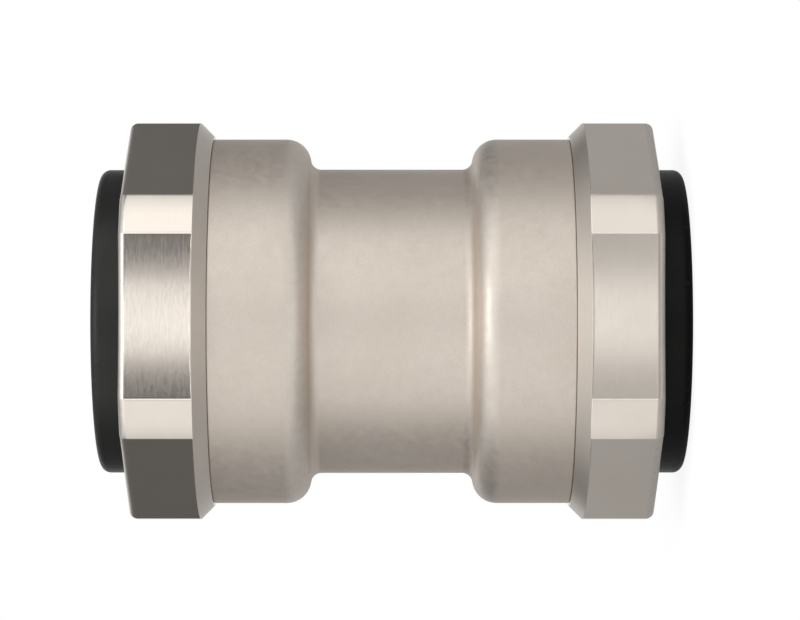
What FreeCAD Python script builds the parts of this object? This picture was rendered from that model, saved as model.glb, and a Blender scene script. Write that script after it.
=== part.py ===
import FreeCAD, Part
import math
import os

# Push-fit repair coupling for 32 mm plastic water pipe.
# It stands on its lower release collar: +Z runs along the pipe, z = 0 is the surface it stands on.
# Heights of the pieces of one end are distances from the coupling's middle plane.
# Millimetres throughout.

# Pipe
PIPE_OD = 32.0
PIPE_CLEARANCE = 0.3

# Seals
SEAL_SECTION = 3.3
SEAL_SQUEEZE = 0.4
SEAL_SIDE_PLAY = 0.02
SPACER_THICKNESS = 1.3
WASHER_THICKNESS = 1.3
RING_FIT = 0.1

# Gripping ring
SHEET_THICKNESS = 0.6
TOOTH_BITE = 0.4
TOOTH_REACH = 3.2
TOOTH_ANGLE = 40.0
TOOTH_COUNT = 18
TOOTH_SLOT_WIDTH = 1.5
TOOTH_SLOT_MARGIN = 0.4
RIM_WIDTH = 1.0

# Support ring
SUPPORT_FLOOR = 1.04
SUPPORT_SKIRT = 1.4
RECESS_ANGLE = 65.0

# Clamp ring
CLAMP_SEAT_DEPTH = 1.2
CLAMP_FLANGE_THICKNESS = 0.9
CLAMP_FLANGE_PLAY = 0.15
CLAMP_COLLAR_PLAY = 0.4

# Body
TUBE_HALF_LENGTH = 10.55
TUBE_WALL = 3.9
CHAMBER_FLOOR_WALL = 1.85
THREAD_WALL = 1.9
THREAD_LENGTH = 5.3
THREAD_FIT = 0.05
THREAD_RELIEF_DEPTH = 0.5
THREAD_RELIEF_LENGTH = 1.0
SEAT_WIDTH = 2.0
SHOULDER_ROUNDING = 3.2
SHOULDER_FILLET = 1.4
SHOULDER_SLANT = 0.6
SHOULDER_FACE = 0.05

# Nut
NUT_WALL = 1.9
NUT_CORNER_HEIGHT = 2.2
NUT_LIP_THICKNESS = 1.9
NUT_END_STEP = 0.35
NUT_FLAT_COUNT = 6
NUT_RUNOUT_LENGTH = 0.3
NUT_FRONT_ROUNDING = 1.1

# Release collar
COLLAR_WALL = 3.85
COLLAR_STANDOUT = 3.85
COLLAR_FLANGE_THICKNESS = 1.0
COLLAR_FLANGE_HEIGHT = 0.75
COLLAR_FIT = 0.08
COLLAR_TRAVEL = 2.0
COLLAR_END_GAP = 0.05
COLLAR_SLEEVE_WALL = 2.1
COLLAR_NOSE_WALL = 1.25
COLLAR_NOSE_LENGTH = 3.2
COLLAR_TIP_FLAT = 0.3
COLLAR_TOOTH_GAP = 0.3
COLLAR_EDGE_ROUNDING = 1.25
COLLAR_MOUTH_CHAMFER = 0.7

# Small edge breaks
EDGE_BREAK = 0.2
FINE_BREAK = 0.1

# Radii that follow from the sizes above
pipe_r = PIPE_OD / 2
bore_r = pipe_r + PIPE_CLEARANCE
tube_r = bore_r + TUBE_WALL
seal_chamber_r = pipe_r + SEAL_SECTION - SEAL_SQUEEZE
tooth_tip_r = pipe_r - TOOTH_BITE
rim_inner_r = pipe_r + TOOTH_REACH
rim_outer_r = rim_inner_r + RIM_WIDTH
grip_chamber_r = rim_outer_r + RING_FIT
thread_r = grip_chamber_r + THREAD_WALL
socket_r = thread_r + SEAT_WIDTH
nut_thread_r = thread_r + THREAD_FIT
nut_flat_r = nut_thread_r + NUT_WALL
nut_corner_r = nut_flat_r + NUT_CORNER_HEIGHT
nut_end_r = socket_r + NUT_END_STEP
collar_r = bore_r + COLLAR_WALL
nut_opening_r = collar_r + COLLAR_FIT
collar_flange_r = collar_r + COLLAR_FLANGE_HEIGHT
nut_chamber_r = collar_flange_r + COLLAR_FIT
collar_sleeve_r = bore_r + COLLAR_SLEEVE_WALL
collar_nose_r = bore_r + COLLAR_NOSE_WALL

# The shoulder's fillet takes at most what its rounding leaves of the slanted face
shoulder_step = socket_r - tube_r
shoulder_half_turn = (math.pi / 2 - math.atan(SHOULDER_SLANT / shoulder_step)) / 2
shoulder_room = (math.hypot(shoulder_step, SHOULDER_SLANT) - SHOULDER_FACE) / math.tan(shoulder_half_turn)
shoulder_fillet_r = min(SHOULDER_FILLET, shoulder_room - SHOULDER_ROUNDING)

# Heights above the middle plane that follow from the sizes above
tooth_slope = math.tan(math.radians(TOOTH_ANGLE))
tooth_length = (rim_inner_r - tooth_tip_r) / math.cos(math.radians(TOOTH_ANGLE))
recess_depth = tooth_length * math.sin(math.radians(RECESS_ANGLE)) + RING_FIT
recess_floor_r = rim_inner_r - recess_depth / math.tan(math.radians(RECESS_ANGLE))
chamber_floor_h = TUBE_HALF_LENGTH + CHAMBER_FLOOR_WALL
inner_seal_h = chamber_floor_h + WASHER_THICKNESS
spacer_h = inner_seal_h + SEAL_SECTION
outer_seal_h = spacer_h + SPACER_THICKNESS
support_h = outer_seal_h + SEAL_SECTION
body_step_h = support_h + SUPPORT_SKIRT
rim_h = support_h + SUPPORT_FLOOR + recess_depth
clamp_h = rim_h + SHEET_THICKNESS
body_end_h = clamp_h + CLAMP_SEAT_DEPTH
nut_end_h = body_end_h - THREAD_LENGTH
nut_step_h = body_end_h + CLAMP_FLANGE_THICKNESS
nut_lip_h = nut_step_h + COLLAR_TRAVEL + COLLAR_FLANGE_THICKNESS + 2 * COLLAR_END_GAP
nut_face_h = nut_lip_h + NUT_LIP_THICKNESS
half_length = nut_face_h + COLLAR_STANDOUT

AXIS = FreeCAD.Vector(0, 0, 1)
ORIGIN = FreeCAD.Vector(0, 0, 0)


def rounded_corner(before, corner, after, radius):
    """Tangent points and middle point of the arc that rounds one corner of a profile."""
    to_before = (before - corner).normalize()
    to_after = (after - corner).normalize()
    half_angle = to_before.getAngle(to_after) / 2
    tangent = radius / math.tan(half_angle)
    bisector = (to_before + to_after).normalize()
    centre = corner + bisector * (radius / math.sin(half_angle))
    start = corner + to_before * tangent
    end = corner + to_after * tangent
    middle = centre - bisector * radius
    return start, middle, end


def profile_wire(points):
    """Closed wire in the XZ plane from (radius, height) or (radius, height, corner rounding)."""
    corners = [FreeCAD.Vector(point[0], 0, point[1]) for point in points]
    edges = []
    stops = []
    count = len(points)
    for index, point in enumerate(points):
        corner = corners[index]
        if len(point) == 3:
            before = corners[index - 1]
            after = corners[(index + 1) % count]
            stops.append(rounded_corner(before, corner, after, point[2]))
        else:
            stops.append((corner, None, corner))
    for index in range(count):
        start, middle, end = stops[index]
        if middle is not None:
            edges.append(Part.Arc(start, middle, end).toShape())
        following = stops[(index + 1) % count][0]
        if end.distanceToPoint(following) > 1e-6:
            edges.append(Part.makeLine(end, following))
    return Part.Wire(edges)


def turned(points):
    """Solid of revolution about the pipe's axis."""
    face = Part.Face(profile_wire(points))
    return face.revolve(ORIGIN, AXIS, 360)


def flat_ring(inner_r, outer_r, low, high, edge_break):
    """Flat ring with broken edges."""
    return turned([
        (inner_r, low + edge_break),
        (inner_r + edge_break, low),
        (outer_r - edge_break, low),
        (outer_r, low + edge_break),
        (outer_r, high - edge_break),
        (outer_r - edge_break, high),
        (inner_r + edge_break, high),
        (inner_r, high - edge_break),
    ])


def coupling_body():
    """Middle tube and both sockets, turned from one piece, with the bore right through."""
    relief_r = thread_r - THREAD_RELIEF_DEPTH
    relief_h = nut_end_h + THREAD_RELIEF_LENGTH
    outside = [
        (tube_r, TUBE_HALF_LENGTH, shoulder_fillet_r),
        (socket_r, TUBE_HALF_LENGTH + SHOULDER_SLANT, SHOULDER_ROUNDING),
        (socket_r, nut_end_h - EDGE_BREAK),
        (socket_r - EDGE_BREAK, nut_end_h),
        (relief_r, nut_end_h),
        (relief_r, relief_h),
        (thread_r, relief_h + THREAD_RELIEF_DEPTH),
        (thread_r, body_end_h - THREAD_RELIEF_DEPTH),
        (thread_r - THREAD_RELIEF_DEPTH, body_end_h),
    ]
    inside = [
        (grip_chamber_r + EDGE_BREAK, body_end_h),
        (grip_chamber_r, body_end_h - EDGE_BREAK),
        (grip_chamber_r, body_step_h),
        (seal_chamber_r + EDGE_BREAK, body_step_h),
        (seal_chamber_r, body_step_h - EDGE_BREAK),
        (seal_chamber_r, chamber_floor_h),
        (bore_r + EDGE_BREAK, chamber_floor_h),
        (bore_r, chamber_floor_h - EDGE_BREAK),
    ]
    upper = outside + inside
    lower = [(point[0], -point[1], *point[2:]) for point in reversed(upper)]
    return turned(upper + lower)


def hex_bar(low, high):
    """Bar over the nut's flats, one flat towards -Y."""
    corner_r = nut_flat_r / math.cos(math.pi / NUT_FLAT_COUNT)
    corners = []
    for index in range(NUT_FLAT_COUNT + 1):
        angle = 2 * math.pi * (index + 0.5) / NUT_FLAT_COUNT - math.pi / 2
        corners.append(FreeCAD.Vector(corner_r * math.cos(angle), corner_r * math.sin(angle), low))
    return Part.Face(Part.makePolygon(corners)).extrude(AXIS * (high - low))


def nut_outside():
    """Turned blank with six flats that run out against a round collar at the inner end."""
    rim_h_nut = nut_end_h + nut_corner_r - nut_end_r
    blank = turned([
        (0, nut_end_h),
        (nut_end_r, nut_end_h),
        (nut_corner_r, rim_h_nut),
        (nut_corner_r, nut_face_h),
        (0, nut_face_h),
    ])
    round_end = turned([
        (0, nut_end_h),
        (nut_corner_r + NUT_CORNER_HEIGHT, nut_end_h),
        (nut_corner_r + NUT_CORNER_HEIGHT, rim_h_nut - NUT_RUNOUT_LENGTH),
        (nut_flat_r - NUT_CORNER_HEIGHT, rim_h_nut + 2 * NUT_RUNOUT_LENGTH),
        (0, rim_h_nut + 2 * NUT_RUNOUT_LENGTH),
    ])
    keep = round_end.fuse(hex_bar(nut_end_h, nut_face_h))
    shaped = blank.common(keep).removeSplitter()
    front = [edge for edge in shaped.Edges if edge.BoundBox.ZMin > nut_face_h - FINE_BREAK]
    return shaped.makeFillet(NUT_FRONT_ROUNDING, front)


def nut_inside():
    """Hollow of the nut: thread, collar chamber and the opening for the collar."""
    relief_r = nut_thread_r + RING_FIT
    return turned([
        (0, nut_end_h - NUT_LIP_THICKNESS),
        (nut_thread_r + EDGE_BREAK, nut_end_h - NUT_LIP_THICKNESS),
        (nut_thread_r + EDGE_BREAK, nut_end_h),
        (nut_thread_r, nut_end_h + EDGE_BREAK),
        (nut_thread_r, body_end_h),
        (relief_r, body_end_h),
        (relief_r, nut_step_h),
        (nut_chamber_r, nut_step_h),
        (nut_chamber_r, nut_lip_h),
        (nut_opening_r, nut_lip_h),
        (nut_opening_r, nut_face_h - EDGE_BREAK),
        (nut_opening_r + EDGE_BREAK, nut_face_h),
        (nut_opening_r + EDGE_BREAK, nut_face_h + NUT_LIP_THICKNESS),
        (0, nut_face_h + NUT_LIP_THICKNESS),
    ])


def union_nut():
    return nut_outside().cut(nut_inside())


def release_collar():
    """Ring that slides in the nut's opening, with a flange behind the lip and a nose for the teeth."""
    gap_h = COLLAR_TOOTH_GAP / math.cos(math.radians(TOOTH_ANGLE))
    tooth_top_h = clamp_h - rim_inner_r * tooth_slope + gap_h
    tip_r = bore_r + COLLAR_TIP_FLAT
    tip_h = tooth_top_h + tip_r * tooth_slope
    nose_corner_h = tooth_top_h + collar_nose_r * tooth_slope
    sleeve_h = tip_h + COLLAR_NOSE_LENGTH
    flange_high = nut_lip_h - COLLAR_END_GAP
    flange_low = flange_high - COLLAR_FLANGE_THICKNESS
    return turned([
        (bore_r, tip_h),
        (tip_r, tip_h),
        (collar_nose_r, nose_corner_h),
        (collar_nose_r, sleeve_h),
        (collar_sleeve_r, sleeve_h + collar_sleeve_r - collar_nose_r),
        (collar_sleeve_r, flange_low),
        (collar_flange_r, flange_low),
        (collar_flange_r, flange_high),
        (collar_r, flange_high),
        (collar_r, half_length, COLLAR_EDGE_ROUNDING),
        (bore_r + COLLAR_MOUTH_CHAMFER, half_length),
        (bore_r, half_length - COLLAR_MOUTH_CHAMFER),
    ])


def clamp_ring():
    """Ring on the body's end that holds the gripping ring's rim down in its seat."""
    inner_r = collar_sleeve_r + CLAMP_COLLAR_PLAY
    flange_r = nut_thread_r - CLAMP_FLANGE_PLAY
    return turned([
        (inner_r + FINE_BREAK, clamp_h),
        (rim_outer_r - FINE_BREAK, clamp_h),
        (rim_outer_r, clamp_h + FINE_BREAK),
        (rim_outer_r, body_end_h),
        (flange_r - FINE_BREAK, body_end_h),
        (flange_r, body_end_h + FINE_BREAK),
        (flange_r, nut_step_h - FINE_BREAK),
        (flange_r - FINE_BREAK, nut_step_h),
        (inner_r + FINE_BREAK, nut_step_h),
        (inner_r, nut_step_h - FINE_BREAK),
        (inner_r, clamp_h + FINE_BREAK),
    ])


def grab_ring():
    """Sheet ring with a flat rim and teeth bent inwards and down along the pipe."""
    tip_drop = (rim_inner_r - tooth_tip_r) * tooth_slope
    blank = turned([
        (rim_outer_r, rim_h),
        (rim_outer_r, clamp_h),
        (rim_inner_r, clamp_h),
        (tooth_tip_r, clamp_h - tip_drop),
        (tooth_tip_r, rim_h - tip_drop),
        (rim_inner_r, rim_h),
    ])
    slot_length = rim_inner_r - TOOTH_SLOT_MARGIN
    slot_low = rim_h - tip_drop - SHEET_THICKNESS
    slot_height = clamp_h + SHEET_THICKNESS - slot_low
    slots = []
    for index in range(TOOTH_COUNT):
        corner = FreeCAD.Vector(0, -TOOTH_SLOT_WIDTH / 2, slot_low)
        slot = Part.makeBox(slot_length, TOOTH_SLOT_WIDTH, slot_height, corner)
        slot.rotate(ORIGIN, AXIS, 360 * index / TOOTH_COUNT)
        slots.append(slot)
    return blank.cut(slots)


def support_ring():
    """Ring that seats on the body's step, with a hollow that the pressed teeth swing into."""
    floor_h = support_h + SUPPORT_FLOOR
    skirt_r = seal_chamber_r - RING_FIT
    return turned([
        (bore_r, support_h + FINE_BREAK),
        (bore_r + FINE_BREAK, support_h),
        (skirt_r - FINE_BREAK, support_h),
        (skirt_r, support_h + FINE_BREAK),
        (skirt_r, body_step_h),
        (rim_outer_r, body_step_h),
        (rim_outer_r, rim_h),
        (rim_inner_r, rim_h),
        (recess_floor_r, floor_h),
        (bore_r, floor_h),
    ])


def o_ring(low):
    """Round rubber ring in the seal chamber, free size, before a pipe squeezes it."""
    section_r = SEAL_SECTION / 2 - SEAL_SIDE_PLAY
    centre_r = seal_chamber_r - SEAL_SECTION / 2
    return Part.makeTorus(centre_r, section_r, FreeCAD.Vector(0, 0, low + SEAL_SECTION / 2), AXIS)


def end_pieces():
    """Every piece of the upper end, at its height above the middle plane."""
    chamber_ring_r = seal_chamber_r - RING_FIT
    return {
        "union_nut": union_nut(),
        "release_collar": release_collar(),
        "clamp_ring": clamp_ring(),
        "grab_ring": grab_ring(),
        "support_ring": support_ring(),
        "outer_o_ring": o_ring(outer_seal_h),
        "spacer_ring": flat_ring(bore_r, chamber_ring_r, spacer_h, outer_seal_h, EDGE_BREAK),
        "inner_o_ring": o_ring(inner_seal_h),
        "backing_washer": flat_ring(bore_r, chamber_ring_r, chamber_floor_h, inner_seal_h, EDGE_BREAK),
    }


def coupling():
    """All pieces in place, standing on the lower collar."""
    lift = AXIS * half_length
    pieces = {"coupling_body": coupling_body().translated(lift)}
    for name, shape in end_pieces().items():
        pieces["upper_" + name] = shape.translated(lift)
        pieces["lower_" + name] = shape.mirror(ORIGIN, AXIS).translated(lift)
    return pieces


os.makedirs("parts", exist_ok=True)
for node, solid in coupling().items():
    solid.exportStep("parts/" + node + ".step")
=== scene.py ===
import math

import bmesh
import bpy
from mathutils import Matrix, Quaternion, Vector


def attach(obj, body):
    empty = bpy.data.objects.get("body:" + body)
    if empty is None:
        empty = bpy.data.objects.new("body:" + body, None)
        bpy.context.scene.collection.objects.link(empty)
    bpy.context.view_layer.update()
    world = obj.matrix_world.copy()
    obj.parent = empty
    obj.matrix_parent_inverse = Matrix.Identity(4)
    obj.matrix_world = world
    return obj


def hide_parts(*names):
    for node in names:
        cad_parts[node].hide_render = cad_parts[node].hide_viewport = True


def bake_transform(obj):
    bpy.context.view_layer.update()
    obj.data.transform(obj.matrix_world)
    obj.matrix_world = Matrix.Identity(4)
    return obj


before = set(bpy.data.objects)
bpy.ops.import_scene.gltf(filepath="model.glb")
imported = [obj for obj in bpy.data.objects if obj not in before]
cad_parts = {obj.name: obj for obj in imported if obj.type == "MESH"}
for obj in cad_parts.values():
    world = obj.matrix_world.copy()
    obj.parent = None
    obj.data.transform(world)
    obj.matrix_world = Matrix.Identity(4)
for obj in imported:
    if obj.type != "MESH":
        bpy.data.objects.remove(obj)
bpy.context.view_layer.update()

MM = 0.001

# Sizes of the coupling in millimetres, as in its construction

# Radii
BORE_R = 16.3
TUBE_R = 20.2
SOCKET_R = 24.2
SEAL_CHAMBER_R = 18.9
GRIP_CHAMBER_R = 20.3
THREAD_R = 22.2
RING_R = 18.8
RIM_R = 20.2
TOOTH_ROOT_R = 19.2
TOOTH_TIP_R = 15.6
SLOT_END_R = 18.8
CLAMP_FLANGE_R = 22.1
NUT_THREAD_R = 22.25
NUT_FLAT_R = 24.15
NUT_CORNER_R = 26.35
NUT_END_R = 24.55
NUT_OPENING_R = 20.23
NUT_CHAMBER_R = 20.98
COLLAR_R = 20.15
COLLAR_FLANGE_R = 20.9
COLLAR_SLEEVE_R = 18.4
COLLAR_NOSE_R = 17.55

# Heights above the middle plane
SHOULDER_H = 10.55
CHAMBER_FLOOR_H = 12.4
INNER_SEAL_H = 13.7
SPACER_H = 17.0
OUTER_SEAL_H = 18.3
SUPPORT_H = 21.6
BODY_STEP_H = 23.0
NUT_END_H = 23.5
COLLAR_TIP_H = 25.81
COLLAR_NOSE_H = 26.61
RIM_H = 27.0
CLAMP_H = 27.6
BODY_END_H = 28.8
COLLAR_NOSE_END_H = 29.01
NUT_STEP_H = 29.7
COLLAR_SLEEVE_H = 29.86
NUT_LIP_H = 32.8
NUT_FACE_H = 34.7
COLLAR_END_H = 38.55

# Body
SHOULDER_SLANT = 0.6
SHOULDER_FILLET = 1.4
SHOULDER_ROUNDING = 3.2
THREAD_RELIEF_DEPTH = 0.5
THREAD_RELIEF_LENGTH = 1.0
EDGE_BREAK = 0.2
BODY_ROUNDING = 0.06

# Release collar; its flange lies below the nut's lip
COLLAR_TIP_FLAT = 0.3
FLANGE_TOP_DEPTH = 0.05
FLANGE_LOW_DEPTH = 1.05
COLLAR_EDGE_ROUNDING = 1.25
COLLAR_MOUTH_CHAMFER = 0.7
COLLAR_MOUTH_ROUNDING = 0.25
COLLAR_ROUNDING = 0.06

# Rings inside; the recess of the support ring is given by radius and height
CLAMP_ROUNDING = 0.1
SUPPORT_ROUNDING = 0.08
RECESS_EDGE = 0.05
RECESS_FLOOR_H = 22.5
RECESS = ((18.75, 25.5), (17.9, 23.6), (17.2, RECESS_FLOOR_H))
FLAT_RING_ROUNDING = 0.2
SEAL_SECTION_R = 1.63
SEAL_SEAT_R = 1.65
SEAL_POINTS = 40
FLASH_LINE = 0.015

# Gripping ring
TOOTH_COUNT = 18
SLOT_WIDTH = 1.5
TOOTH_SLOPE = math.tan(math.radians(40))
SHEET_THICKNESS = 0.6
BEND_RADII = (19.9, 19.6, 19.4, 19.3, 19.2, 19.1, 19.0, 18.9)
BEND_WIDTH = 0.25
TOOTH_ROW = 0.2
TOOTH_ROWS = 15
TOOTH_COLUMNS = 9
STAMPED_CORNER = math.radians(45)
STAMPED_EDGE = 0.05

# Nut: roundings and the run-out of its flats
NUT_THREAD_ROUNDING = 0.15
NUT_COLLAR_ROUNDING = 0.12
NUT_FRONT_ROUNDING = 1.1
NUT_OPENING_ROUNDING = 0.25
NUT_ROUNDING = 0.04
THREAD_END_CHAMFER = 0.1
RUNOUT_LENGTH = 0.3
RUNOUT_BLEND = 0.16
CREASE_BLEND = 0.06
CREASE_WEAR = 0.09

# Nut: the zones in which its outline counts as wall, front rounding and front face
WALL_DEPTH = 2
WALL_START = 0.3
FRONT_ZONE = 1.2
FACE_ZONE = 0.02

# Nut: rows along its wall, and degrees round it
FINE_ROW = 0.02
FINE_ROWS_END = 0.5
MIDDLE_ROW = 0.05
MIDDLE_ROWS_END = 0.8
WIDE_ROW = 0.8
FLAT_STEPS = 14
CREASE_OFFSETS = (-1.5, -1.0, -0.6, -0.35, -0.2, -0.1, 0.0,
                  0.1, 0.2, 0.35, 0.6, 1.0, 1.5, 2.0)
CORNER_OFFSETS = (3.2, 4.6)

# Fineness of the turned pieces
AROUND = 224
ARC_STEP = math.radians(9)
SUPPORT_LOOP = 0.05


# ---- geometry ----

def arc_points(before, corner, after, radius):
    """Points of the arc that rounds one corner of a profile, with wear if the corner stands out."""
    to_before = (before - corner).normalized()
    to_after = (after - corner).normalized()
    half = to_before.angle(to_after) / 2
    tangent = radius / math.tan(half)
    bisector = (to_before + to_after).normalized()
    centre = corner + bisector * (radius / math.sin(half))
    start = corner + to_before * tangent - centre
    end = corner + to_after * tangent - centre
    turn = start.angle(end)
    steps = max(3, math.ceil(turn / ARC_STEP))
    outward = (corner - before).cross(after - corner) > 0
    points = []
    for index in range(steps + 1):
        share = index / steps
        low = math.sin((1 - share) * turn) / math.sin(turn)
        high = math.sin(share * turn) / math.sin(turn)
        place = centre + start * low + end * high
        points.append((place.x, place.y, math.sin(math.pi * share) if outward else 0.0))
    return points


def profile(points, rounding):
    """Closed outline of (radius, height, edge wear) points from corners in either direction.

    A corner is (radius, height), or (radius, height, rounding) where it has a rounding of its own.
    """
    corners = [Vector(point[:2]) for point in points]
    area = sum(corners[index - 1].cross(corner) for index, corner in enumerate(corners))
    if area < 0:
        return list(reversed(profile(list(reversed(points)), rounding)))
    count = len(points)
    runs = []
    for index, point in enumerate(points):
        radius = point[2] if len(point) == 3 else rounding
        before = corners[index - 1]
        after = corners[(index + 1) % count]
        runs.append(arc_points(before, corners[index], after, radius))
    outline = []
    for index, run in enumerate(runs):
        outline.extend(run)
        start = Vector(run[-1][:2])
        end = Vector(runs[(index + 1) % count][0][:2])
        gap = end - start
        if gap.length > 6 * SUPPORT_LOOP:
            step = gap.normalized() * SUPPORT_LOOP
            outline.append((*(start + step), 0.0))
            outline.append((*(end - step), 0.0))
    return outline


def soft_min(a, b, width):
    """The lower of two values, with a rounded change from one to the other."""
    near = max(width - abs(a - b), 0) / width
    return min(a, b) - near * near * width / 4


def smooth_piece(name, work, material):
    """Smooth object from a finished mesh."""
    mesh = bpy.data.meshes.new(name)
    work.to_mesh(mesh)
    work.free()
    mesh.polygons.foreach_set("use_smooth", [True] * len(mesh.polygons))
    piece = bpy.data.objects.new(name, mesh)
    bpy.context.scene.collection.objects.link(piece)
    piece.data.materials.append(material)
    return piece


def mesh_object(name, rings, flip, body, node, material):
    """Closed mesh from rings of points, one ring per profile point, placed and given to its body."""
    work = bmesh.new()
    wear = work.verts.layers.float.new("edge")
    rows = []
    for ring in rings:
        row = []
        for x, y, height, edge in ring:
            z = COLLAR_END_H - height if flip else COLLAR_END_H + height
            corner = work.verts.new((x * MM, y * MM, z * MM))
            corner[wear] = edge
            row.append(corner)
        rows.append(row)
    count = len(rows)
    size = len(rows[0])
    for index in range(count):
        low = rows[index]
        high = rows[(index + 1) % count]
        for step in range(size):
            nxt = (step + 1) % size
            work.faces.new((low[step], low[nxt], high[nxt], high[step]))
    bmesh.ops.recalc_face_normals(work, faces=work.faces)
    piece = smooth_piece(name, work, material)
    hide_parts(node)
    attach(piece, body)


def lathe(name, outline, flip, body, node, material):
    """Turned piece."""
    turns = [2 * math.pi * index / AROUND for index in range(AROUND)]
    rings = [[(radius * math.cos(turn), radius * math.sin(turn), height, edge) for turn in turns]
             for radius, height, edge in outline]
    mesh_object(name, rings, flip, body, node, material)


def body_outline():
    """Middle tube and both sockets, with shoulders, threads and the chambers inside."""
    relief_r = THREAD_R - THREAD_RELIEF_DEPTH
    relief_end = NUT_END_H + THREAD_RELIEF_LENGTH
    upper = [
        (TUBE_R, SHOULDER_H, SHOULDER_FILLET),
        (SOCKET_R, SHOULDER_H + SHOULDER_SLANT, SHOULDER_ROUNDING),
        (SOCKET_R, NUT_END_H, EDGE_BREAK),
        (relief_r, NUT_END_H),
        (relief_r, relief_end),
        (THREAD_R, relief_end + THREAD_RELIEF_DEPTH),
        (THREAD_R, BODY_END_H - THREAD_RELIEF_DEPTH),
        (relief_r, BODY_END_H),
        (GRIP_CHAMBER_R, BODY_END_H, EDGE_BREAK),
        (GRIP_CHAMBER_R, BODY_STEP_H),
        (SEAL_CHAMBER_R, BODY_STEP_H, EDGE_BREAK),
        (SEAL_CHAMBER_R, CHAMBER_FLOOR_H),
        (BORE_R, CHAMBER_FLOOR_H, EDGE_BREAK),
    ]
    lower = [(point[0], -point[1], *point[2:]) for point in reversed(upper)]
    return profile(upper + lower, BODY_ROUNDING)


def collar_outline():
    """Release collar: nose, sleeve, flange under the nut's lip, rounded end and chamfered mouth."""
    return profile([
        (BORE_R, COLLAR_TIP_H),
        (BORE_R + COLLAR_TIP_FLAT, COLLAR_TIP_H),
        (COLLAR_NOSE_R, COLLAR_NOSE_H),
        (COLLAR_NOSE_R, COLLAR_NOSE_END_H, EDGE_BREAK),
        (COLLAR_SLEEVE_R, COLLAR_SLEEVE_H, EDGE_BREAK),
        (COLLAR_SLEEVE_R, NUT_LIP_H - FLANGE_LOW_DEPTH, EDGE_BREAK),
        (COLLAR_FLANGE_R, NUT_LIP_H - FLANGE_LOW_DEPTH),
        (COLLAR_FLANGE_R, NUT_LIP_H - FLANGE_TOP_DEPTH),
        (COLLAR_R, NUT_LIP_H - FLANGE_TOP_DEPTH),
        (COLLAR_R, COLLAR_END_H, COLLAR_EDGE_ROUNDING),
        (BORE_R + COLLAR_MOUTH_CHAMFER, COLLAR_END_H, COLLAR_MOUTH_ROUNDING),
        (BORE_R, COLLAR_END_H - COLLAR_MOUTH_CHAMFER, COLLAR_MOUTH_ROUNDING),
    ], COLLAR_ROUNDING)


def clamp_outline():
    """Clamp ring: plug in the body's chamber, and flange between the body's end and the nut's step."""
    return profile([
        (RING_R, CLAMP_H),
        (RIM_R, CLAMP_H),
        (RIM_R, BODY_END_H),
        (CLAMP_FLANGE_R, BODY_END_H),
        (CLAMP_FLANGE_R, NUT_STEP_H),
        (RING_R, NUT_STEP_H),
    ], CLAMP_ROUNDING)


def support_outline():
    """Support ring with the recess that the teeth bend into."""
    return profile([
        (BORE_R, SUPPORT_H),
        (RING_R, SUPPORT_H),
        (RING_R, BODY_STEP_H),
        (RIM_R, BODY_STEP_H),
        (RIM_R, RIM_H),
        (TOOTH_ROOT_R - RECESS_EDGE, RIM_H),
        *RECESS,
        (BORE_R, RECESS_FLOOR_H),
    ], SUPPORT_ROUNDING)


def flat_ring_outline(low, high):
    """Spacer or washer between two heights."""
    return profile([(BORE_R, low), (RING_R, low), (RING_R, high), (BORE_R, high)], FLAT_RING_ROUNDING)


def seal_outline(low):
    """Round section with the fine flash line that a moulded rubber ring keeps on its inner and outer side."""
    centre_r = SEAL_CHAMBER_R - SEAL_SEAT_R
    centre_h = low + SEAL_SEAT_R
    points = []
    for index in range(SEAL_POINTS):
        angle = 2 * math.pi * index / SEAL_POINTS
        bead = FLASH_LINE if index in (0, SEAL_POINTS // 2) else 0.0
        reach = SEAL_SECTION_R + bead
        points.append((centre_r + reach * math.cos(angle), centre_h + reach * math.sin(angle), 0.0))
    return points


def tooth_rows():
    """Radius and height of the gripping ring's upper face, from its rim to the tips of its teeth."""
    radii = [RIM_R, *BEND_RADII, SLOT_END_R]
    radii += [SLOT_END_R - TOOTH_ROW * step for step in range(1, TOOTH_ROWS + 1)]
    radii.append(TOOTH_TIP_R)
    rim_top = RIM_H + SHEET_THICKNESS
    return [(radius, rim_top + soft_min(0, (radius - TOOTH_ROOT_R) * TOOTH_SLOPE, BEND_WIDTH))
            for radius in radii]


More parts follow.
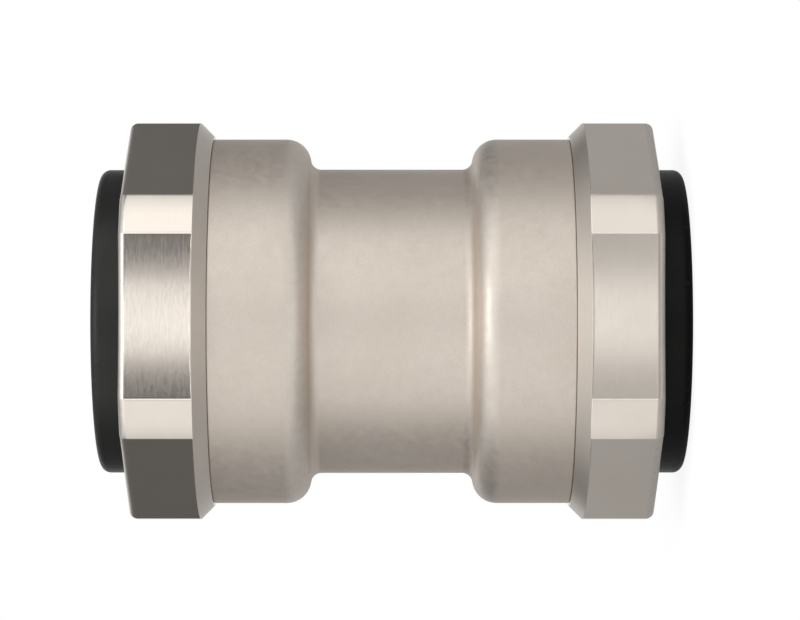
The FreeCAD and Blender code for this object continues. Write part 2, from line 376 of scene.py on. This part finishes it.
def grab_ring(end, flip, material):
    """Sheet ring with teeth; its rim sits in its seat."""
    work = bmesh.new()
    columns = TOOTH_COLUMNS
    pitch = 2 * math.pi / TOOTH_COUNT
    side = -1 if flip else 1
    rows = []
    for radius, height in tooth_rows():
        slot = math.asin(SLOT_WIDTH / 2 / radius)
        turns = [slot + (pitch - 2 * slot) * column / (columns - 1) for column in range(columns)]
        if radius >= SLOT_END_R:
            turns.insert(0, 0.0)
        z = (COLLAR_END_H + side * height) * MM
        row = []
        for tooth in range(TOOTH_COUNT):
            for turn in turns:
                x = radius * math.cos(tooth * pitch + turn)
                y = radius * math.sin(tooth * pitch + turn)
                row.append(work.verts.new((x * MM, y * MM, z)))
        rows.append(row)
    for outer, inner in zip(rows, rows[1:]):
        wide = len(outer) // TOOTH_COUNT
        narrow = len(inner) // TOOTH_COUNT
        for tooth in range(TOOTH_COUNT):
            for column in range(columns - 1):
                a = tooth * wide + column + wide - columns
                b = tooth * narrow + column + narrow - columns
                work.faces.new((outer[a], outer[a + 1], inner[b + 1], inner[b]))
            if narrow > columns:
                a = tooth * wide
                last = (a - 1) % len(outer)
                work.faces.new((outer[a], outer[a + 1], inner[a + 1], inner[a]))
                work.faces.new((outer[last], outer[a], inner[a], inner[last]))
    rim = [edge for edge in work.edges if edge.is_boundary]
    thickness = Vector((0, 0, side * SHEET_THICKNESS * MM))
    under = {corner: work.verts.new(corner.co - thickness) for corner in list(work.verts)}
    for face in list(work.faces):
        work.faces.new([under[corner] for corner in reversed(face.verts)])
    for edge in rim:
        first, second = edge.verts
        work.faces.new((first, second, under[second], under[first]))
    bmesh.ops.recalc_face_normals(work, faces=work.faces)
    sharp = [edge for edge in work.edges if edge.calc_face_angle(0) > STAMPED_CORNER]
    bmesh.ops.bevel(work, geom=sharp, offset=STAMPED_EDGE * MM, segments=2, profile=0.5, affect="EDGES")
    piece = smooth_piece(end + "_toothed_ring", work, material)
    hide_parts(end + "_grab_ring")
    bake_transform(piece)


def nut_angles():
    """Angles round the nut, close together where a flat meets a corner."""
    crease = math.degrees(math.acos(NUT_FLAT_R / NUT_CORNER_R))
    half = [crease * share / FLAT_STEPS for share in range(1, FLAT_STEPS)]
    half += [crease + offset for offset in CREASE_OFFSETS]
    half += [crease + offset for offset in CORNER_OFFSETS]
    half = sorted(angle for angle in half if 0 < angle < 30)
    sector = [0.0] + half + [30.0] + [60 - angle for angle in reversed(half)]
    return [math.radians(60 * side + angle) for side in range(6) for angle in sector]


def row_step(height, rim):
    """Distance to the next row on the nut's wall: short where the flats run out."""
    if height < rim + FINE_ROWS_END:
        return FINE_ROW
    return MIDDLE_ROW if height < rim + MIDDLE_ROWS_END else WIDE_ROW


def nut_heights():
    """Outline of the turned nut with extra rows on its wall, and the height at which its flats start."""
    rim = NUT_END_H + NUT_CORNER_R - NUT_END_R
    relief_r = NUT_THREAD_R + THREAD_END_CHAMFER
    outline = profile([
        (NUT_THREAD_R, NUT_END_H, NUT_THREAD_ROUNDING),
        (NUT_END_R, NUT_END_H, NUT_COLLAR_ROUNDING),
        (NUT_CORNER_R, rim, NUT_COLLAR_ROUNDING),
        (NUT_CORNER_R, NUT_FACE_H, NUT_FRONT_ROUNDING),
        (NUT_OPENING_R, NUT_FACE_H, NUT_OPENING_ROUNDING),
        (NUT_OPENING_R, NUT_LIP_H),
        (NUT_CHAMBER_R, NUT_LIP_H),
        (NUT_CHAMBER_R, NUT_STEP_H),
        (relief_r, NUT_STEP_H),
        (relief_r, BODY_END_H),
        (NUT_THREAD_R, BODY_END_H - THREAD_END_CHAMFER),
    ], NUT_ROUNDING)
    rows = []
    for index, point in enumerate(outline):
        rows.append(point)
        following = outline[(index + 1) % len(outline)]
        on_wall = abs(point[0] - NUT_CORNER_R) < 0.01 and abs(following[0] - NUT_CORNER_R) < 0.01
        if on_wall and following[1] - point[1] > 2:
            height = point[1] + MIDDLE_ROW
            while height < following[1] - MIDDLE_ROW:
                rows.append((NUT_CORNER_R, height, 0.0))
                height += row_step(height, rim)
    return rows, rim


def nut(name, flip, node, material):
    """Turned nut with six flats that run out in arcs against the round collar at its inner end."""
    rows, rim = nut_heights()
    angles = nut_angles()
    runout = (NUT_CORNER_R - NUT_FLAT_R) / RUNOUT_LENGTH
    rings = []
    for point in rows:
        outside = point[0] > NUT_END_R - WALL_DEPTH and point[1] > NUT_END_H + WALL_START
        drop = NUT_CORNER_R - point[0] if point[1] > NUT_FACE_H - FRONT_ZONE else 0
        drop = min(drop, NUT_FRONT_ROUNDING)
        ring = []
        for angle in angles:
            radius, height, edge = point
            if outside:
                across = (angle + math.pi / 6) % (math.pi / 3) - math.pi / 6
                flat = (NUT_FLAT_R - drop) / math.cos(across)
                cone = NUT_CORNER_R - (height - rim) * runout
                allowed = -soft_min(-flat, -cone, RUNOUT_BLEND)
                if height < NUT_FACE_H - FACE_ZONE:
                    edge = max(edge, 1 - abs(radius - allowed) / CREASE_WEAR)
                radius = soft_min(radius, allowed, CREASE_BLEND)
            turned = angle - math.pi / 2
            ring.append((radius * math.cos(turned), radius * math.sin(turned), height, edge))
        rings.append(ring)
    mesh_object(name, rings, flip, "coupling", node, material)


# ---- materials ----

# Plate on the blasted body
BLASTED_TONE = (0.630, 0.561, 0.492, 1)
BLASTED_PALE = (0.680, 0.611, 0.542, 1)
BLASTED_SPECK = (0.53, 0.470, 0.410, 1)
BLASTED_EDGE = (0.70, 0.65, 0.59, 1)

# Plate on the machined nuts
MACHINED_TONE = (0.648, 0.590, 0.528, 1)
MACHINED_PALE = (0.698, 0.642, 0.580, 1)
MACHINED_LINE = (0.615, 0.555, 0.492, 1)
MACHINED_EDGE = (0.76, 0.72, 0.67, 1)

# Plastics and rubber
BLACK_WARMTH = 0.94
BLACK_SCUFF = (0.05, 0.05, 0.047, 1)
NATURAL_TONE = (0.70, 0.70, 0.66, 1)
NATURAL_PALE = (0.77, 0.77, 0.73, 1)
NATURAL_DEPTH = (0.0012, 0.0012, 0.001)
RUBBER_TONE = (0.010, 0.010, 0.011, 1)
RUBBER_BLOOM = (0.026, 0.026, 0.027, 1)

# Spring steel
STEEL_TONE = (0.52, 0.52, 0.51, 1)
STEEL_PALE = (0.64, 0.64, 0.62, 1)
STEEL_STRAW = (0.60, 0.56, 0.49, 1)


class Nodes:
    """Short-hand for building one node tree."""

    def __init__(self, name):
        self.material = bpy.data.materials.new(name)
        self.material.use_nodes = True
        self.tree = self.material.node_tree
        self.shader = self.tree.nodes["Principled BSDF"]
        self.place = self.tree.nodes.new("ShaderNodeTexCoord").outputs["Object"]

    def node(self, kind, **settings):
        made = self.tree.nodes.new(kind)
        for key, value in settings.items():
            setattr(made, key, value)
        return made

    def put(self, socket, value):
        if isinstance(value, bpy.types.NodeSocket):
            self.tree.links.new(value, socket)
        else:
            socket.default_value = value

    def noise(self, scale, detail=2.0, roughness=0.5, place=None):
        made = self.node("ShaderNodeTexNoise")
        self.put(made.inputs["Vector"], place or self.place)
        made.inputs["Scale"].default_value = scale
        made.inputs["Detail"].default_value = detail
        made.inputs["Roughness"].default_value = roughness
        return made.outputs["Fac"]

    def math(self, operation, a, b=0.0):
        made = self.node("ShaderNodeMath", operation=operation)
        self.put(made.inputs[0], a)
        self.put(made.inputs[1], b)
        return made.outputs[0]

    def between(self, value, low, high, to_low=0.0, to_high=1.0):
        made = self.node("ShaderNodeMapRange")
        self.put(made.inputs["Value"], value)
        made.inputs["From Min"].default_value = low
        made.inputs["From Max"].default_value = high
        made.inputs["To Min"].default_value = to_low
        made.inputs["To Max"].default_value = to_high
        return made.outputs["Result"]

    def mix(self, share, a, b):
        made = self.node("ShaderNodeMix", data_type="RGBA")
        self.put(made.inputs["Factor"], share)
        self.put(made.inputs["A"], a)
        self.put(made.inputs["B"], b)
        return made.outputs["Result"]

    def stretched(self, x, y, z):
        made = self.node("ShaderNodeMapping")
        self.put(made.inputs["Vector"], self.place)
        made.inputs["Scale"].default_value = (x, y, z)
        return made.outputs["Vector"]

    def bump(self, height, strength, distance, normal=None):
        made = self.node("ShaderNodeBump")
        self.put(made.inputs["Height"], height)
        made.inputs["Strength"].default_value = strength
        made.inputs["Distance"].default_value = distance
        if normal is not None:
            self.put(made.inputs["Normal"], normal)
        return made.outputs["Normal"]

    def worn_edges(self, amount):
        """Uneven share of wear on the edges that stand out."""
        edge = self.node("ShaderNodeAttribute", attribute_name="edge")
        patches = self.noise(scale=700, detail=4, roughness=0.7)
        uneven = self.between(patches, low=0.35, high=0.65, to_low=0.3, to_high=1.0)
        return self.math("MULTIPLY", self.math("MULTIPLY", edge.outputs["Fac"], uneven), amount)


def blasted_metal():
    """Nickel plate over a fine blasted surface: grainy, matte, slightly cloudy, smoother on its edges."""
    m = Nodes("blasted_nickel")
    cloud = m.between(m.noise(scale=70, detail=3, roughness=0.6), low=0.3, high=0.7)
    speckle = m.between(m.noise(scale=5200, detail=2, roughness=0.6), low=0.35, high=0.65)
    tone = m.mix(cloud, BLASTED_TONE, BLASTED_PALE)
    dark = m.mix(speckle, BLASTED_SPECK, tone)
    grain = m.mix(0.35, tone, dark)
    edge = m.worn_edges(amount=0.8)
    m.put(m.shader.inputs["Base Color"], m.mix(edge, grain, BLASTED_EDGE))
    patches = m.noise(scale=900, detail=3, roughness=0.6)
    rough = m.between(patches, low=0.3, high=0.7, to_low=0.44, to_high=0.56)
    m.put(m.shader.inputs["Roughness"], m.math("SUBTRACT", rough, m.math("MULTIPLY", edge, 0.12)))
    m.shader.inputs["Metallic"].default_value = 0.9
    pits = m.bump(m.noise(scale=4600, detail=3, roughness=0.7), strength=0.40, distance=0.00003)
    waves = m.bump(m.noise(scale=420, detail=2, roughness=0.5), strength=0.10, distance=0.00006, normal=pits)
    m.put(m.shader.inputs["Normal"], waves)
    return m.material


def machined_metal():
    """Nickel plate over a machined surface: fine tool lines round the nut, bright, with duller chamfers."""
    m = Nodes("machined_nickel")
    parts = m.node("ShaderNodeSeparateXYZ")
    m.put(parts.inputs[0], m.place)
    radius = m.math("SQRT", m.math("ADD", m.math("POWER", parts.outputs["X"], 2.0),
                                   m.math("POWER", parts.outputs["Y"], 2.0)))
    facing = m.node("ShaderNodeSeparateXYZ")
    m.put(facing.inputs[0], m.node("ShaderNodeNewGeometry").outputs["Normal"])
    lift = m.math("ABSOLUTE", facing.outputs["Z"])
    end = m.between(lift, low=0.6, high=0.9)
    line = m.node("ShaderNodeMix", data_type="FLOAT")
    m.put(line.inputs["Factor"], end)
    m.put(line.inputs["A"], parts.outputs["Z"])
    m.put(line.inputs["B"], radius)
    along = m.node("ShaderNodeCombineXYZ")
    m.put(along.inputs["Z"], line.outputs["Result"])
    tool = m.noise(scale=5200, detail=3, roughness=0.7, place=along.outputs[0])
    broken = m.noise(scale=900, detail=2, roughness=0.5, place=m.stretched(1, 1, 6))
    cloud = m.between(m.noise(scale=90, detail=3, roughness=0.6), low=0.3, high=0.7)
    tone = m.mix(cloud, MACHINED_TONE, MACHINED_PALE)
    lines = m.mix(m.between(tool, low=0.3, high=0.7), MACHINED_LINE, tone)
    edge = m.worn_edges(amount=0.9)
    m.put(m.shader.inputs["Base Color"], m.mix(edge, m.mix(0.4, tone, lines), MACHINED_EDGE))
    rough = m.between(m.math("MULTIPLY", tool, broken), low=0.1, high=0.4, to_low=0.06, to_high=0.10)
    chamfer = m.math("MULTIPLY", m.between(lift, low=0.40, high=0.62), m.between(lift, low=0.96, high=0.80))
    rough = m.math("ADD", rough, m.math("MULTIPLY", chamfer, 0.26))
    m.put(m.shader.inputs["Roughness"], rough)
    m.shader.inputs["Metallic"].default_value = 1.0
    grooves = m.bump(tool, strength=0.10, distance=0.000004)
    waves = m.noise(scale=300, detail=2, roughness=0.5)
    ripple = m.bump(waves, strength=0.04, distance=0.00001, normal=grooves)
    m.put(m.shader.inputs["Normal"], ripple)
    return m.material


def collar_plastic(name, dark, pale, shine):
    """Moulded black plastic, satin, with a fine grain and faint handling scuffs on its rounded edge; the
    caller's tones and shine give a paler lit copy as painted light and a darker copy as painted shade.
    """
    m = Nodes(name)
    cloud = m.between(m.noise(scale=140, detail=3, roughness=0.6), low=0.3, high=0.7)
    tone = m.mix(cloud, (dark, dark, dark * BLACK_WARMTH, 1), (pale, pale, pale * BLACK_WARMTH, 1))
    marks = m.noise(scale=1500, detail=4, roughness=0.7, place=m.stretched(1, 1, 0.2))
    scuff = m.between(marks, low=0.60, high=0.72)
    edge = m.worn_edges(amount=1.0)
    worn = m.math("MULTIPLY", scuff, edge)
    m.put(m.shader.inputs["Base Color"], m.mix(worn, tone, BLACK_SCUFF))
    patches = m.noise(scale=2200, detail=3, roughness=0.6)
    rough = m.between(patches, low=0.3, high=0.7, to_low=0.36, to_high=0.46)
    m.put(m.shader.inputs["Roughness"], rough)
    m.shader.inputs["Specular IOR Level"].default_value = shine
    grain = m.noise(scale=3800, detail=2, roughness=0.6)
    m.put(m.shader.inputs["Normal"], m.bump(grain, strength=0.16, distance=0.00002))
    return m.material


def ring_plastic():
    """Natural white moulded plastic with a faint waxy sheen."""
    m = Nodes("natural_plastic")
    cloud = m.between(m.noise(scale=160, detail=3, roughness=0.6), low=0.3, high=0.7)
    m.put(m.shader.inputs["Base Color"], m.mix(cloud, NATURAL_TONE, NATURAL_PALE))
    patches = m.noise(scale=1800, detail=3, roughness=0.6)
    rough = m.between(patches, low=0.3, high=0.7, to_low=0.34, to_high=0.46)
    m.put(m.shader.inputs["Roughness"], rough)
    m.shader.inputs["Subsurface Weight"].default_value = 0.15
    m.shader.inputs["Subsurface Radius"].default_value = NATURAL_DEPTH
    grain = m.noise(scale=2600, detail=2, roughness=0.6)
    m.put(m.shader.inputs["Normal"], m.bump(grain, strength=0.12, distance=0.00002))
    return m.material


def seal_rubber():
    """Black rubber with a dull bloom."""
    m = Nodes("seal_rubber")
    bloom = m.between(m.noise(scale=420, detail=4, roughness=0.65), low=0.4, high=0.75)
    m.put(m.shader.inputs["Base Color"], m.mix(bloom, RUBBER_TONE, RUBBER_BLOOM))
    patches = m.noise(scale=1400, detail=3, roughness=0.6)
    rough = m.between(patches, low=0.3, high=0.7, to_low=0.50, to_high=0.66)
    m.put(m.shader.inputs["Roughness"], rough)
    grain = m.noise(scale=4200, detail=2, roughness=0.6)
    m.put(m.shader.inputs["Normal"], m.bump(grain, strength=0.2, distance=0.00002))
    return m.material


def stainless_sheet():
    """Rolled spring steel with fine grain lines and a faint, cloudy straw tint."""
    m = Nodes("stainless_sheet")
    grain = m.noise(scale=2400, detail=3, roughness=0.65, place=m.stretched(1, 14, 1))
    tone = m.mix(m.between(grain, low=0.3, high=0.7), STEEL_TONE, STEEL_PALE)
    tint = m.between(m.noise(scale=260, detail=3, roughness=0.6), low=0.45, high=0.75)
    m.put(m.shader.inputs["Base Color"], m.mix(tint, tone, STEEL_STRAW))
    m.put(m.shader.inputs["Roughness"], m.between(grain, low=0.3, high=0.7, to_low=0.20, to_high=0.34))
    m.shader.inputs["Metallic"].default_value = 1.0
    m.put(m.shader.inputs["Normal"], m.bump(grain, strength=0.08, distance=0.00001))
    return m.material


# ---- the coupling ----

blasted = blasted_metal()
machined = machined_metal()
# Two copies of one black plastic: the upper collar's is paler and shinier, painted light from above; the
# lower collar's is darker, painted shade
blacks = {
    "upper": collar_plastic("lit_black_plastic", dark=0.009, pale=0.014, shine=0.34),
    "lower": collar_plastic("black_plastic", dark=0.003, pale=0.006, shine=0.14),
}
natural = ring_plastic()
rubber = seal_rubber()
stainless = stainless_sheet()

lathe("body_turning", body_outline(), False, "coupling", "coupling_body", blasted)
for end, flip in (("upper", False), ("lower", True)):
    nut(end + "_nut", flip, end + "_union_nut", machined)
    lathe(end + "_collar_ring", collar_outline(), flip, end + "_collar", end + "_release_collar",
          blacks[end])
    rings = (
        ("clamp_ring", clamp_outline(), "ring_plastic", natural),
        ("support_ring", support_outline(), "ring_plastic", natural),
        ("spacer_ring", flat_ring_outline(SPACER_H, OUTER_SEAL_H), "ring_plastic", natural),
        ("backing_washer", flat_ring_outline(CHAMBER_FLOOR_H, INNER_SEAL_H), "ring_plastic", natural),
        ("outer_o_ring", seal_outline(OUTER_SEAL_H), "seal_rubber", rubber),
        ("inner_o_ring", seal_outline(INNER_SEAL_H), "seal_rubber", rubber),
    )
    for node, outline, slot, material in rings:
        lathe(end + "_" + node + "_piece", outline, flip, "coupling", end + "_" + node, material)
    grab_ring(end, flip, stainless)


# ---- studio ----

# Floor: what the camera sees of its white, its colour, and how it shows in reflections,
# which see it pale ahead of the object as painted light and darker close beside it as painted shade
FLOOR_HALF_WIDTH = 6
FLOOR_WHITE = 1.12
FLOOR_SEEN = 0.80
FLOOR_TONE = 0.82
# Painted light ahead of the object and painted shade close beside it, as reflections see the floor
FLOOR_AHEAD = 1.18
FLOOR_AHEAD_Y = -0.056
FLOOR_BESIDE = 0.44
FLOOR_BESIDE_Y = -0.034
# Glow of the floor in reflections: a plain share, and a painted sheen that grows at grazing angles
FLOOR_MIRRORED = 0.10
FLOOR_GRAZED = 0.28
FLOOR_SHEEN = (0.9, 0.9, 0.9, 1)
FLOOR_ROUGHNESS = 0.12
FLOOR_IOR = 1.9

# Room: levels, and angles in degrees from the front
BAND_LEVEL = 1.15
FRONT_RISE = 0.50
FRONT_START = 36
FRONT_END = 46
SIDE_LEVEL = 0.21
SIDE_START = 60
SIDE_END = 87
DIP_START = 4.5
DIP_END = 10
DIP_DEPTH = 1.40
BACK_START = 150
BACK_END = 162
LEAN = 0.10
NEARLY_ZERO = 0.001

# Ceiling: levels, and the parts of a unit vector between which it changes
TOP_LEVEL = 1.50
TOP_FRONT_Y = -0.45
TOP_BACK_LEVEL = 0.42
TOP_BACK_Y = 0.60
TOP_START_Z = 0.40
TOP_FULL_Z = 0.80

# Soft lights: name, place, width and height, brightness, and the point that they face
SOFTBOXES = (
    ("front_high_side", (0.50, -0.29, 0.20), (0.30, 0.60), 0.50, (0, 0, 0.04)),
    ("front_low_side", (-0.50, -0.29, 0.20), (0.30, 0.60), 0.36, (0, 0, 0.04)),
    ("above", (0.02, -0.30, 0.48), (0.26, 0.12), 3.0, (0, 0, 0.04)),
    ("slit", (0.017, -0.62, 0.31), (0.025, 0.62), 1.35, (0, 0, 0.31)),
)

# Camera
CENTRE = Vector((0, 0, COLLAR_END_H * MM))
CAMERA_DISTANCE = 0.460
CAMERA_TURN = math.radians(-1.6)
CAMERA_ROLL = math.radians(-90)
PICTURE_WIDTH_PX = 800
PX_PER_M = 7500
SHIFT_X_PX = 8.3
SHIFT_Y_PX = 11.3
SENSOR_WIDTH = 36
CLIP_START = 0.01


def add(tree, kind, **settings):
    made = tree.nodes.new(kind)
    for key, value in settings.items():
        setattr(made, key, value)
    return made


def math_node(tree, operation, *values):
    made = add(tree, "ShaderNodeMath", operation=operation)
    for socket, value in zip(made.inputs, values):
        if isinstance(value, bpy.types.NodeSocket):
            tree.links.new(value, socket)
        else:
            socket.default_value = value
    return made.outputs[0]


def eased(tree, value, low, high, to_low, to_high):
    """Smooth step from one level to another."""
    made = add(tree, "ShaderNodeMapRange", interpolation_type="SMOOTHSTEP")
    tree.links.new(value, made.inputs["Value"])
    made.inputs["From Min"].default_value = low
    made.inputs["From Max"].default_value = high
    made.inputs["To Min"].default_value = to_low
    made.inputs["To Max"].default_value = to_high
    return made.outputs["Result"]


def step_round(tree, front, outer, inner, to_low, to_high):
    """Step between two angles in degrees round the object, counted from its front."""
    return eased(tree, front, math.cos(math.radians(outer)), math.cos(math.radians(inner)), to_low, to_high)


def reflections(tree, path):
    """1 for rays from a reflection or through something clear, else 0."""
    return math_node(tree, "MAXIMUM", path.outputs["Is Glossy Ray"], path.outputs["Is Transmission Ray"])


def blended(tree, share, first, second):
    """Mix of two shaders."""
    mix = add(tree, "ShaderNodeMixShader")
    tree.links.new(share, mix.inputs[0])
    tree.links.new(first, mix.inputs[1])
    tree.links.new(second, mix.inputs[2])
    return mix.outputs[0]


def floor():
    """Pale satin floor that keeps a soft shadow, nearly white to the camera; in reflections it has painted
    light ahead of the object, painted shade close beside it and a painted sheen at grazing angles.
    """
    mesh = bpy.data.meshes.new("floor")
    work = bmesh.new()
    bmesh.ops.create_grid(work, x_segments=8, y_segments=8, size=FLOOR_HALF_WIDTH)
    work.to_mesh(mesh)
    work.free()
    plane = bpy.data.objects.new("floor", mesh)
    bpy.context.scene.collection.objects.link(plane)
    material = bpy.data.materials.new("floor")
    material.use_nodes = True
    tree = material.node_tree
    tree.nodes.clear()
    out = add(tree, "ShaderNodeOutputMaterial")
    matte = add(tree, "ShaderNodeBsdfDiffuse")
    sheen = add(tree, "ShaderNodeBsdfGlossy")
    sheen.inputs["Color"].default_value = FLOOR_SHEEN
    sheen.inputs["Roughness"].default_value = FLOOR_ROUGHNESS
    white = add(tree, "ShaderNodeEmission")
    white.inputs["Strength"].default_value = FLOOR_WHITE
    path = add(tree, "ShaderNodeLightPath")
    mirrored = reflections(tree, path)
    gloss = add(tree, "ShaderNodeFresnel")
    gloss.inputs["IOR"].default_value = FLOOR_IOR
    polish = math_node(tree, "MULTIPLY", mirrored, gloss.outputs[0])
    satin = blended(tree, polish, matte.outputs[0], sheen.outputs[0])
    seen = math_node(tree, "MULTIPLY", path.outputs["Is Camera Ray"], FLOOR_SEEN)
    parts = add(tree, "ShaderNodeSeparateXYZ")
    tree.links.new(add(tree, "ShaderNodeTexCoord").outputs["Object"], parts.inputs[0])
    # Painted light and shade for reflections: pale ahead of the object, darker close beside it
    reflected = eased(tree, parts.outputs["Y"], FLOOR_AHEAD_Y, FLOOR_BESIDE_Y, FLOOR_AHEAD, FLOOR_BESIDE)
    change = math_node(tree, "MULTIPLY", mirrored, math_node(tree, "SUBTRACT", reflected, FLOOR_TONE))
    tree.links.new(math_node(tree, "ADD", change, FLOOR_TONE), matte.inputs["Color"])
    # Painted sheen: a glow in reflections that grows at grazing angles
    grazed = math_node(tree, "MULTIPLY", gloss.outputs[0], FLOOR_GRAZED)
    glow = math_node(tree, "ADD", grazed, FLOOR_MIRRORED)
    share = math_node(tree, "ADD", seen, math_node(tree, "MULTIPLY", mirrored, glow))
    tree.links.new(blended(tree, share, satin, white.outputs[0]), out.inputs[0])
    plane.data.materials.append(material)


def room():
    """White to the camera.

    Elsewhere it is pale in front with a dark stripe in the middle, and dim to the sides. Reflections
    see it white at the back. The ceiling is bright in front and dim behind.
    """
    world = bpy.data.worlds.new("studio")
    bpy.context.scene.world = world
    world.use_nodes = True
    tree = world.node_tree
    tree.nodes.clear()
    out = add(tree, "ShaderNodeOutputWorld")
    coords = add(tree, "ShaderNodeTexCoord")
    parts = add(tree, "ShaderNodeSeparateXYZ")
    tree.links.new(coords.outputs["Generated"], parts.inputs[0])
    x, y, z = parts.outputs
    squares = math_node(tree, "ADD", math_node(tree, "MULTIPLY", x, x), math_node(tree, "MULTIPLY", y, y))
    flat = math_node(tree, "MAXIMUM", math_node(tree, "SQRT", squares), NEARLY_ZERO)
    front = math_node(tree, "DIVIDE", math_node(tree, "MULTIPLY", y, -1.0), flat)
    side = step_round(tree, front, SIDE_END, SIDE_START, SIDE_LEVEL, BAND_LEVEL)
    side = math_node(tree, "ADD", side, step_round(tree, front, FRONT_END, FRONT_START, 0.0, FRONT_RISE))
    dip = step_round(tree, front, DIP_END, DIP_START, 0.0, DIP_DEPTH)
    lean = math_node(tree, "MULTIPLY_ADD", math_node(tree, "DIVIDE", x, flat), LEAN, 1.0)
    level = math_node(tree, "MULTIPLY", math_node(tree, "SUBTRACT", side, dip), lean)
    path = add(tree, "ShaderNodeLightPath")
    mirrored = reflections(tree, path)
    behind = step_round(tree, front, BACK_START, BACK_END, 0.0, 1.0)
    shown = math_node(tree, "MULTIPLY", behind, mirrored)
    level = math_node(tree, "ADD", level, math_node(tree, "MULTIPLY", shown, 1.0 - SIDE_LEVEL))
    ceiling = eased(tree, y, TOP_FRONT_Y, TOP_BACK_Y, TOP_LEVEL, TOP_BACK_LEVEL)
    lift = eased(tree, z, TOP_START_Z, TOP_FULL_Z, 0.0, 1.0)
    change = math_node(tree, "MULTIPLY", lift, math_node(tree, "SUBTRACT", ceiling, level))
    level = math_node(tree, "ADD", level, change)
    around = add(tree, "ShaderNodeBackground")
    tree.links.new(level, around.inputs["Strength"])
    white = add(tree, "ShaderNodeBackground")
    white.inputs["Color"].default_value = (1, 1, 1, 1)
    shader = blended(tree, path.outputs["Is Camera Ray"], around.outputs[0], white.outputs[0])
    tree.links.new(shader, out.inputs[0])


def softbox(name, place, size, level, target):
    """Rectangular soft light whose surface has the given brightness; it doesn't show in the picture."""
    data = bpy.data.lights.new(name, "AREA")
    data.shape = "RECTANGLE"
    data.size, data.size_y = size
    data.energy = level * math.pi * size[0] * size[1]
    lamp = bpy.data.objects.new(name, data)
    lamp.location = place
    lamp.rotation_mode = "QUATERNION"
    lamp.rotation_quaternion = (Vector(target) - Vector(place)).to_track_quat("-Z", "Y")
    lamp.visible_camera = False
    bpy.context.scene.collection.objects.link(lamp)


def camera():
    """Level view along +Y, rolled so that the pipe axis lies across the picture."""
    data = bpy.data.cameras.new("camera")
    data.sensor_width = SENSOR_WIDTH
    data.lens = SENSOR_WIDTH * PX_PER_M * CAMERA_DISTANCE / PICTURE_WIDTH_PX
    data.shift_x = SHIFT_X_PX / PICTURE_WIDTH_PX
    data.shift_y = SHIFT_Y_PX / PICTURE_WIDTH_PX
    data.clip_start = CLIP_START
    back = Vector((math.sin(CAMERA_TURN), -math.cos(CAMERA_TURN), 0))
    eye = bpy.data.objects.new("camera", data)
    eye.location = CENTRE + back * CAMERA_DISTANCE
    upright = (-back).to_track_quat("-Z", "Y")
    eye.rotation_mode = "QUATERNION"
    eye.rotation_quaternion = upright @ Quaternion((0, 0, 1), CAMERA_ROLL)
    bpy.context.scene.collection.objects.link(eye)
    bpy.context.scene.camera = eye


floor()
room()
for name, place, size, level, target in SOFTBOXES:
    softbox(name, place, size, level, target)
camera()

bpy.context.scene.view_settings.view_transform = "Standard"
